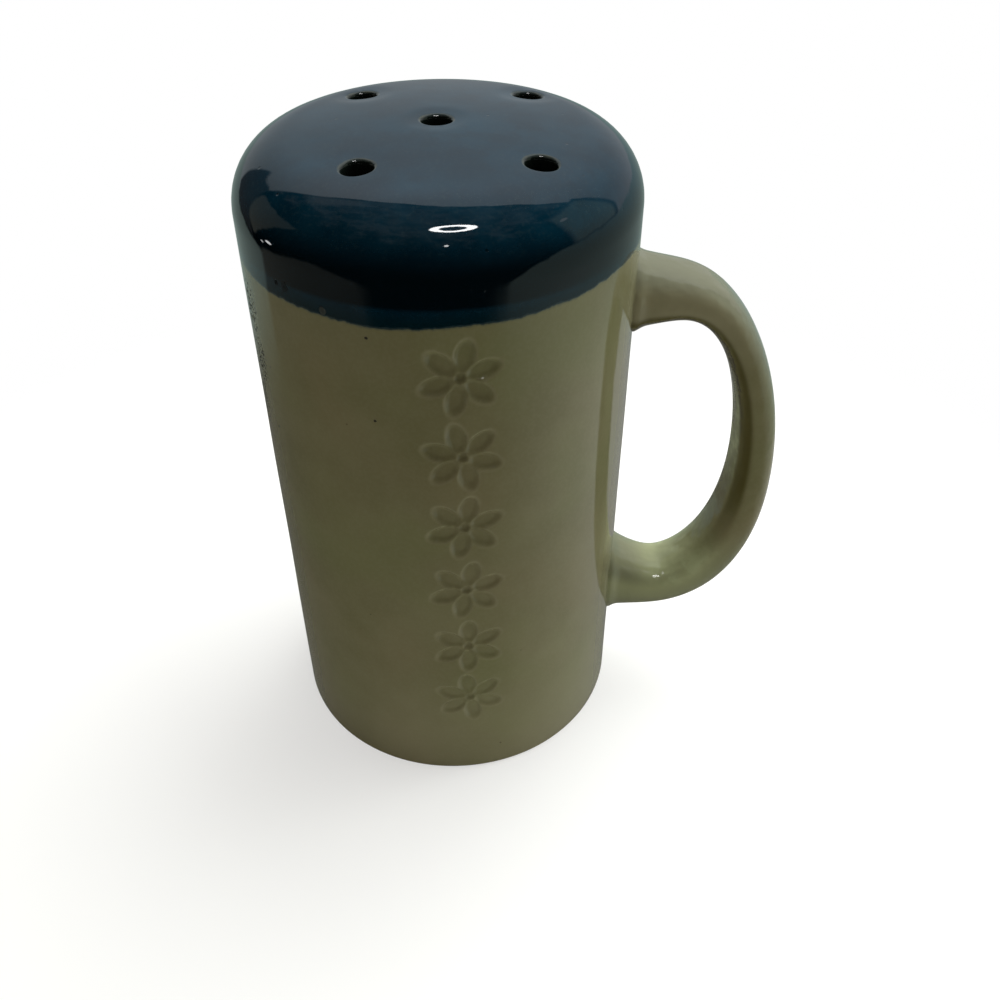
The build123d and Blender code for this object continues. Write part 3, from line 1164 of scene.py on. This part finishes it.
def add_sheet(skin, edge_ring, hole_rings, points, height_of, upwards):
    """Fills the plan between an outer ring and the hole rings with triangles, at the heights of a crown."""
    loops = [edge_ring] + hole_rings
    vertices = [vertex for loop in loops for vertex in loop]
    plan = [vertex.co.to_2d() for vertex in vertices] + points
    edges = []
    start = 0
    for loop in loops:
        edges += [(start + index, start + (index + 1) % len(loop)) for index in range(len(loop))]
        start += len(loop)
    found = delaunay_2d_cdt(plan, edges, [], 0, MERGE_DISTANCE)
    placed = []
    for place, origins in zip(found[0], found[3]):
        known = [index for index in origins if index < len(vertices)]
        placed.append(vertices[known[0]] if known else skin.verts.new((place.x, place.y, height_of(place))))
    reaches = [INSIDE_HOLE * max((vertex.co.to_2d() - centre).length for vertex in loop)
               for loop, centre in zip(hole_rings, HOLES)]
    for face in found[2]:
        corners = [placed[index] for index in face]
        middle = sum((corner.co.to_2d() for corner in corners), Vector((0, 0))) / 3
        if any((middle - centre).length < reach for centre, reach in zip(HOLES, reaches)):
            continue
        made = skin.faces.new(corners if upwards else corners[::-1])
        made.normal_update()
        if (made.normal.z > 0) != upwards:
            made.normal_flip()


print("sheet helpers ready")

# %% Top
LIP_STEPS = 9
BORE_STEPS = 4
SHOULDER_STEPS = 22
INNER_SHOULDER_STEPS = 10
WIDEST_HOLE = HOLE_RADIUS * (1 + HOLE_UNEVEN)


def bore(skin, number):
    """Rings from the dished crown over the lip and down the bore; gives the first and the last."""
    lip_layer = skin.verts.layers.float["hole_lip"]
    rings = []
    for step in range(LIP_STEPS + BORE_STEPS + 1):
        points = []
        turn = radians(90 * min(step / LIP_STEPS, 1))
        sunk = max(step - LIP_STEPS, 0) / BORE_STEPS
        for index in range(HOLE_SEGMENTS):
            angle = 2 * pi * index / HOLE_SEGMENTS
            lip_edge = hole_radius(number, angle) + HOLE_LIP
            start = HOLES[number] + around(lip_edge, angle).to_2d()
            here = HOLES[number] + around(lip_edge - HOLE_LIP * sin(turn), angle).to_2d()
            lip_height = crown_height(start) - HOLE_LIP * (1 - cos(turn))
            height = lip_height + (hollow_height(here) - lip_height) * sunk
            vertex = skin.verts.new((here.x, here.y, height))
            vertex[lip_layer] = sin(turn)
            points.append(vertex)
        rings.append(points)
    join_all(skin, rings)
    return rings[0], rings[-1]


def perforated_top():
    """Shoulder, crown with its holes, and the hollow under them, closed at the joint."""
    skin = bmesh.new()
    skin.verts.layers.float.new("hole_lip")
    outer = [ring(skin, *row) for row in OUTSIDE.shoulder_rows(SHEET_EDGE, SHOULDER_STEPS)]
    inner = [ring(skin, *row) for row in INSIDE.shoulder_rows(INNER_EDGE, INNER_SHOULDER_STEPS)]
    join_all(skin, inner[::-1] + outer)
    mouths, ends = zip(*[bore(skin, number) for number in range(len(HOLES))])
    outer_points = sheet_points(SHEET_EDGE, SHEET_STEP, WIDEST_HOLE + HOLE_LIP)
    inner_points = sheet_points(INNER_EDGE, INNER_STEP, WIDEST_HOLE)
    add_sheet(skin, outer[-1], list(mouths), outer_points, crown_height, True)
    add_sheet(skin, inner[-1], list(ends), inner_points, hollow_height, False)
    return finish_piece(skin, "perforated_top", TWO_TONE_GLAZE)


top = perforated_top()
print("perforated top:", triangles(top), "triangles")

# %% [markdown]
# ## The handle
# The ear was pulled from a lump of clay, so it is thin above, thick below, and flares where it was
# pressed on to the wall. One Bezier curve gives its path, and a Geometry Nodes tree bends a tube of
# rounded-oval section along it. The tree works out the thickness at each place from how low and how near
# to the wall that place is.

# %% Handle path
HANDLE_TOP = GLAZE_LINE - 12.8 * MM
HANDLE_BOTTOM = 28.3 * MM
HANDLE_REACH = BASE_RADIUS + 30.9 * MM
HANDLE_REACH_HEIGHT = HANDLE_BOTTOM + 36.0 * MM
HANDLE_CURVE = BASE_RADIUS + 8.5 * MM
HANDLE_SINK = 2.2 * MM
KNOT_PULL = 3 * MM
# Length of a knot's handle as a share of the radius: 0.5523 gives a quarter ellipse, more a squarer bend
ARC_PULL = 0.5523
LOW_ARC_PULL = 0.60
PATH_FINENESS = 64


def handle_path():
    """Level out of the wall, a quarter ellipse down to the furthest point, another one in, level back."""
    ear = HANDLE_REACH - HANDLE_CURVE
    drop = (HANDLE_TOP - HANDLE_REACH_HEIGHT) * ARC_PULL
    lift = (HANDLE_REACH_HEIGHT - HANDLE_BOTTOM) * LOW_ARC_PULL
    roots = [OUTSIDE.wall_radius(height) - HANDLE_SINK for height in (HANDLE_TOP, HANDLE_BOTTOM)]
    # Each knot: its place, and its handles before and after it, all as X and Z
    knots = (
        ((roots[0], HANDLE_TOP), (-KNOT_PULL, 0), (KNOT_PULL, 0)),
        ((HANDLE_CURVE, HANDLE_TOP), (-KNOT_PULL, 0), (ear * ARC_PULL, 0)),
        ((HANDLE_REACH, HANDLE_REACH_HEIGHT), (0, drop), (0, -lift)),
        ((HANDLE_CURVE, HANDLE_BOTTOM), (ear * LOW_ARC_PULL, 0), (-KNOT_PULL, 0)),
        ((roots[1], HANDLE_BOTTOM), (KNOT_PULL, 0), (-KNOT_PULL, 0)),
    )
    curve = bpy.data.curves.new("handle_path", "CURVE")
    curve.dimensions = "3D"
    spline = curve.splines.new("BEZIER")
    spline.bezier_points.add(len(knots) - 1)
    spline.resolution_u = PATH_FINENESS
    for point, (place, back, ahead) in zip(spline.bezier_points, knots):
        point.handle_left_type = point.handle_right_type = "FREE"
        point.co = (place[0], 0, place[1])
        point.handle_left = (place[0] + back[0], 0, place[1] + back[1])
        point.handle_right = (place[0] + ahead[0], 0, place[1] + ahead[1])
    return add_object("handle_path", curve)


path = handle_path()
print("handle path:", len(path.data.splines[0].bezier_points), "knots")


# %% Masks of painted light and shade on the handle
def light_and_shade_masks(side, face, lowered, past_wall):
    """Where the handle gets painted shade, painted light and grey painted shade, as attribute names and
    masks.

    side is 1 at the back and face is 1 on the inside of the ear; lowered goes from 0 above to 1 below.
    Each fade says where a mask starts and ends, and how strong it gets.
    """
    # Painted shade on the ear's inner flank and under the upper arm
    flank = fade(side * -0.77 + face * 0.64, 0.88, 0.98, 0.0, 0.95) * fade(lowered, 0.82, 0.5)
    under_arm = fade(face, 0.1, 0.8) * fade(lowered, 0.25, 0.05, 0.0, 0.95)
    # Painted light on the lower arm's top and the ear's inner face
    lit_arm_top = fade(face, -0.05, 0.50) * fade(lowered, 0.72, 0.94, 0.0, 0.9)
    lit_arm_top *= fade(face, 0.98, 0.70, 0.35, 1.0) * fade(past_wall, 6.0 * MM, 18.0 * MM)
    inner_face = fade(face, 0.80, 0.92) * fade(lowered, 0.15, 0.3) * fade(lowered, 0.6, 0.4)
    # Grey painted shade on the upper arm's top, the lower arm's lower rim and near the lower root
    crest = fade(face, -0.15, -0.8) * fade(lowered, 0.45, 0.10, 0.0, 0.9)
    low_rim = fade(face, 0.3, -0.45) * fade(lowered, 0.6, 0.9, 0.0, 0.75)
    low_root = fade(past_wall, 14.0 * MM, 3.0 * MM, 0.0, 0.65) * fade(lowered, 0.85, 0.97)
    low_root *= fade(face, 0.0, 0.6)
    return {
        "inner_flank": larger(flank, under_arm),
        "glaze_pool": larger(lit_arm_top, inner_face),
        "glaze_crest": larger(crest, low_rim, low_root),
    }


print("glaze masks ready")

# %% Handle tree
TUBE_COLUMNS, TUBE_ROWS = 72, 180
PATH_POINTS = 200
PATH_SMOOTHING = 30
SWELLS_PER_METRE = 60.0
SEAM_POWER = 2.0
HANDLE_SIZES = {
    "Top": HANDLE_TOP,
    "Middle": HANDLE_REACH_HEIGHT,
    "Bottom": HANDLE_BOTTOM,
    "Wall": BASE_RADIUS - 0.5 * MM,
    "Width": 15.8 * MM,
    "Root Widening": 2.0 * MM,
    "Thin": 7.4 * MM,
    "Thick": 11.6 * MM,
    "Upper Flare": 7.7 * MM,
    "Upper Flare Length": 30.0 * MM,
    "Lower Flare": 7.0 * MM,
    "Lower Flare Length": 16.0 * MM,
    "Flare Power": 2.2,
    "Seam Flare": 1.4 * MM,
    "Seam Length": 2.6 * MM,
    "Lower Lift": 3.0 * MM,
    "Upper Squareness": 2.4,
    "Lower Squareness": 2.8,
    "Hand Swell": 0.25 * MM,
}


def oval_side(amount, squareness):
    """One coordinate of a rounded oval: the sign of a sine or cosine with its size raised to a power."""
    return calc("SIGN", amount) * abs(amount) ** (2.0 / squareness)


def smooth_path(tree, path, position):
    """The path, resampled and eased so that its bends flow into each other; its ends stay."""
    line = put(tree, "GeometryNodeObjectInfo", {"transform_space": "ORIGINAL"}, Object=path)["Geometry"]
    dense = put(tree, "GeometryNodeResampleCurve", Curve=line, Count=PATH_POINTS)["Curve"]
    ends = Node(tree, "GeometryNodeCurveEndpointSelection")[0]
    eased = put(tree, "GeometryNodeBlurAttribute", {"data_type": "FLOAT_VECTOR"},
                Iterations=PATH_SMOOTHING, Weight=1.0 - ends)
    # A Blur Attribute node has one Value for each type of data
    vectors = [index for index, socket in enumerate(eased.node.inputs)
               if socket.name == "Value" and socket.type == "VECTOR"]
    eased[vectors[0]] = position
    places = [Wire(socket) for socket in eased.node.outputs if socket.type == "VECTOR"]
    return put(tree, "GeometryNodeSetPosition", Geometry=dense, Position=places[0])[0]


def flare_near(past_wall, length, power):
    """A share that is 1 at the wall and dies out over a length."""
    return ramp(past_wall, 0.0, length, 1.0, 0.0) ** power


def handle_tree():
    """Bends a closed tube along the path, with a section that changes on the way."""
    inputs = {"Path": "Object", "Glaze": "Material", **dict.fromkeys(HANDLE_SIZES, "Float")}
    tree, given, made = new_group("pulled_handle", "GeometryNodeTree", inputs, {"Geometry": "Geometry"})
    tube = put(tree, "GeometryNodeMeshCylinder", {"fill_type": "NGON"}, Vertices=TUBE_COLUMNS,
               Side_Segments=TUBE_ROWS, Radius=1.0, Depth=1.0)["Mesh"]
    position = Node(tree, "GeometryNodeInputPosition")[0]
    axes = parts_of(position)
    along = put(tree, "GeometryNodeSampleCurve", {"mode": "FACTOR"},
                Curves=smooth_path(tree, given["Path"], position), Factor=axes["Z"] + 0.5)
    spot = parts_of(along["Position"])
    lowered = ramp(spot["Z"], given["Middle"], given["Top"], 0.5, 0.0)
    lowered += ramp(spot["Z"], given["Bottom"], given["Middle"], 0.5, 0.0)
    past_wall = spot["X"] - given["Wall"]
    above = calc("GREATER_THAN", spot["Z"], given["Middle"])
    upper = flare_near(past_wall, given["Upper Flare Length"], given["Flare Power"]) * above
    lower = flare_near(past_wall, given["Lower Flare Length"], given["Flare Power"]) * (1.0 - above)
    seam = flare_near(past_wall, given["Seam Length"], SEAM_POWER) * given["Seam Flare"]
    flare = upper * given["Upper Flare"] + lower * given["Lower Flare"] + seam
    thick = ramp(lowered, 0.05, 0.9, given["Thin"], given["Thick"]) + flare
    wide = given["Width"] + ((upper + lower) * given["Root Widening"] + seam)
    squareness = ramp(lowered, 0.0, 1.0, given["Upper Squareness"], given["Lower Squareness"])
    sideways = put(tree, "ShaderNodeCombineXYZ", Y=oval_side(axes["X"], squareness) * (wide * 0.5))[0]
    square = vector_calc("CROSS_PRODUCT", (0.0, 1.0, 0.0), along["Tangent"])
    outwards = lower * given["Lower Lift"] + oval_side(axes["Y"], squareness) * (thick * 0.5)
    bent = vector_calc("ADD", along["Position"], vector_calc("ADD", sideways, scaled(square, outwards)))
    for name, mask in light_and_shade_masks(axes["X"], axes["Y"], lowered, past_wall).items():
        tube = store(tube, name, mask)
    placed = put(tree, "GeometryNodeSetPosition", Geometry=tube, Position=bent)[0]
    unevenness = (clouds(bent, SWELLS_PER_METRE, 1.0) - 0.5) * given["Hand Swell"]
    swell = scaled(Node(tree, "GeometryNodeInputNormal")[0], unevenness)
    finish_tree(given, made, put(tree, "GeometryNodeSetPosition", Geometry=placed, Offset=swell)[0])
    return tree


print("handle tube of", TUBE_COLUMNS, "by", TUBE_ROWS, "faces, with", len(HANDLE_SIZES), "sizes")

# %% Handle
HANDLE_SHARP = 60


def pulled_handle():
    """Runs the tree on an empty mesh, then mends the direction and the smoothness of the faces."""
    piece = add_object("handle_ear", bpy.data.meshes.new("handle_blank"))
    run_tree(piece, handle_tree(), {**HANDLE_SIZES, "Path": path, "Glaze": SAGE_GLAZE})
    skin = bmesh.new()
    skin.from_mesh(piece.data)
    bmesh.ops.recalc_face_normals(skin, faces=skin.faces)
    skin.to_mesh(piece.data)
    skin.free()
    piece.data.shade_smooth()
    piece.data.set_sharp_from_angle(angle=radians(HANDLE_SHARP))
    return piece


handle = pulled_handle()
bpy.data.objects.remove(path)
print("handle:", triangles(handle), "triangles, slots", [slot.name for slot in handle.material_slots])

# %% [markdown]
# ## Floor and cork
# The floor sits up inside the foot, out of sight in the photograph. Its underside is bare clay, as such
# floors are, and a tapered filling hole goes through it. The cork is a plain tapered stopper.

# %% Floor finish
FLOOR_ROUGHNESS = 0.25
FLOOR_PINHOLES = 0.05
CLAY_RELIEF = 0.06 * MM
GLAZED_FROM = (FLOOR_OVER - 1.2 * MM, FLOOR_OVER - 0.6 * MM)


def floor_finish():
    """Bare clay below, sage glaze on the side that holds the cheese."""
    material, shader, place = start_material("floor_finish")
    skin = add_group(KILN_SKIN, place, Cloud_Size=CLOUD_SIZE, Pinholes=FLOOR_PINHOLES)
    glazed = fade(parts_of(place)["Z"], *GLAZED_FROM)
    shader["Base Color"] = tint(glazed, bare_clay(place), sage_colour(skin, place))
    shader["Roughness"] = ramp(glazed, 0.0, 1.0, CLAY_ROUGHNESS, FLOOR_ROUGHNESS)
    bump_from(shader, clouds(place, CLAY_GRAIN, 3.0), CLAY_RELIEF)
    return material


FLOOR_FINISH = floor_finish()
print("material", FLOOR_FINISH.name)

# %% Floor disc
FILLER_RADIUS = 22 * MM
FILLER_TAPER = radians(6)
FILLER_BEVEL = 0.8 * MM
FILLER_STEPS = 5


def filler_radius(height):
    """Radius of the tapered filling hole at a height."""
    return FILLER_RADIUS - (height - FLOOR_UNDER) * tan(FILLER_TAPER)


def floor_disc():
    """The floor between the wall and the filling hole, with softened edges at the hole."""
    low, high = (filler_radius(height) + FILLER_BEVEL for height in (FLOOR_UNDER, FLOOR_OVER))
    outline = quarter_round(low, FLOOR_UNDER + FILLER_BEVEL, FILLER_BEVEL, 180, FILLER_STEPS)
    outline += [(INSIDE.wall_radius(height), height) for height in (FLOOR_UNDER, FLOOR_OVER)]
    outline += quarter_round(high, FLOOR_OVER - FILLER_BEVEL, FILLER_BEVEL, 90, FILLER_STEPS)
    return lathed("floor_disc", outline, FLOOR_FINISH)


floor_piece = floor_disc()
print("floor:", triangles(floor_piece), "triangles")

# %% Cork material
CORK_LIGHT = (0.52, 0.33, 0.17, 1)
CORK_DARK = (0.33, 0.18, 0.08, 1)
CORK_PORE = (0.10, 0.05, 0.025, 1)
GRAINS_PER_METRE = 520.0
CORK_CLOUDS = 160.0
PORES_PER_METRE = 420.0
PORE_STRETCH = (1.0, 0.35, 1.0)
CORK_ROUGHNESS = (0.75, 0.9)
CORK_RELIEF = 0.25 * MM


def cork_bark():
    """Pale brown grains with dark pores that lie across the stopper."""
    material, shader, place = start_material("cork_bark")
    tone = cells(place, GRAINS_PER_METRE)[1]
    shade = (tone + clouds(place, CORK_CLOUDS, 4.0, 0.6)) * 0.5
    colour = tint(ramp(shade, 0.25, 0.75), CORK_LIGHT, CORK_DARK)
    stretched = vector_calc("MULTIPLY", place, PORE_STRETCH)
    pores = fade(clouds(stretched, PORES_PER_METRE, 3.0, 0.6), 0.60, 0.68)
    shader["Base Color"] = tint(pores, colour, CORK_PORE)
    shader["Roughness"] = ramp(tone, 0.0, 1.0, *CORK_ROUGHNESS)
    bump_from(shader, tone * 0.3 - pores, CORK_RELIEF)
    return material


CORK_BARK = cork_bark()
print("material", CORK_BARK.name)

# %% Cork
CORK_LOW, CORK_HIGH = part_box("cork")[0].z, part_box("cork")[1].z
CORK_GAP = 0.2 * MM
CORK_BEVEL = 0.8 * MM
CORK_STEPS = 4
CORK_ROWS = 24
CORK_SEGMENTS = 160
CORK_END_RINGS = (0.05, 0.25, 0.5, 0.75, 0.9)
CORK_SHARP = 70
PORE_DEPTH = 0.35 * MM
PORE_SIZE = 1.6 * MM
PORE_START, PORE_SPAN = 0.35, 0.4
CORK_TURN = [2 * pi * index / CORK_SEGMENTS for index in range(CORK_SEGMENTS)]


def crumbled(point):
    """How far the cork's skin strays outwards at a point: inwards, where it has a pore."""
    return -max(noise.noise(point / PORE_SIZE) - PORE_START, 0.0) * PORE_DEPTH / PORE_SPAN


def cork_outline():
    """Radii and heights from the middle of the lower end, up the side, to the middle of the upper end."""
    low_flat = filler_radius(CORK_LOW) - CORK_GAP - CORK_BEVEL
    high_flat = filler_radius(CORK_HIGH) - CORK_GAP - CORK_BEVEL
    low_edge, high_edge = CORK_LOW + CORK_BEVEL, CORK_HIGH - CORK_BEVEL
    side = [low_edge + (high_edge - low_edge) * step / CORK_ROWS for step in range(1, CORK_ROWS)]
    outline = [(low_flat * share, CORK_LOW) for share in CORK_END_RINGS]
    outline += quarter_round(low_flat, low_edge, CORK_BEVEL, -90, CORK_STEPS)
    outline += [(filler_radius(height) - CORK_GAP, height) for height in side]
    outline += quarter_round(high_flat, high_edge, CORK_BEVEL, 0, CORK_STEPS)
    return outline + [(high_flat * share, CORK_HIGH) for share in reversed(CORK_END_RINGS)]


def cork_stopper():
    """A tapered stopper with crumbled pores, its ends closed by a fan round a middle vertex."""
    skin = bmesh.new()
    rings = [ring(skin, radius, height, CORK_TURN, crumbled) for radius, height in cork_outline()]
    join_all(skin, rings)
    for end, height in ((rings[0][::-1], CORK_LOW), (rings[-1], CORK_HIGH)):
        middle = skin.verts.new((0, 0, height))
        for index, vertex in enumerate(end):
            skin.faces.new((vertex, end[(index + 1) % len(end)], middle))
    return finish_piece(skin, "cork_stopper", CORK_BARK, CORK_SHARP)


stopper = cork_stopper()
print("cork:", triangles(stopper), "triangles")

# %% [markdown]
# ## Into the frame
# Every piece now rides with the body it moves with, and the CAD solid that it stands for is hidden. The
# clay pieces ride on the shaker. Only the cork rides on the stopper, which the joint pulls out downwards.

# %% Ride and hide the CAD solids
for piece, body, node, slot in (
    (wall, "shaker", "body_wall", "sage_glaze"),
    (top, "shaker", "shaker_top", "blue_glaze"),
    (handle, "shaker", "handle", "sage_glaze"),
    (floor_piece, "shaker", "base_floor", "sage_glaze"),
    (stopper, "stopper", "cork", "cork"),
):
    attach(piece, body)
    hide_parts(node)
    print(piece.name, "rides on", body, "for", node)

# %% View, size and finish
bpy.context.scene.view_settings.view_transform = "Standard"
visual_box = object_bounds()
boxes = {"cad": [list(corner) for corner in cad_box], "visual": [list(corner) for corner in visual_box]}
print("visual box in metres:", boxes["visual"])
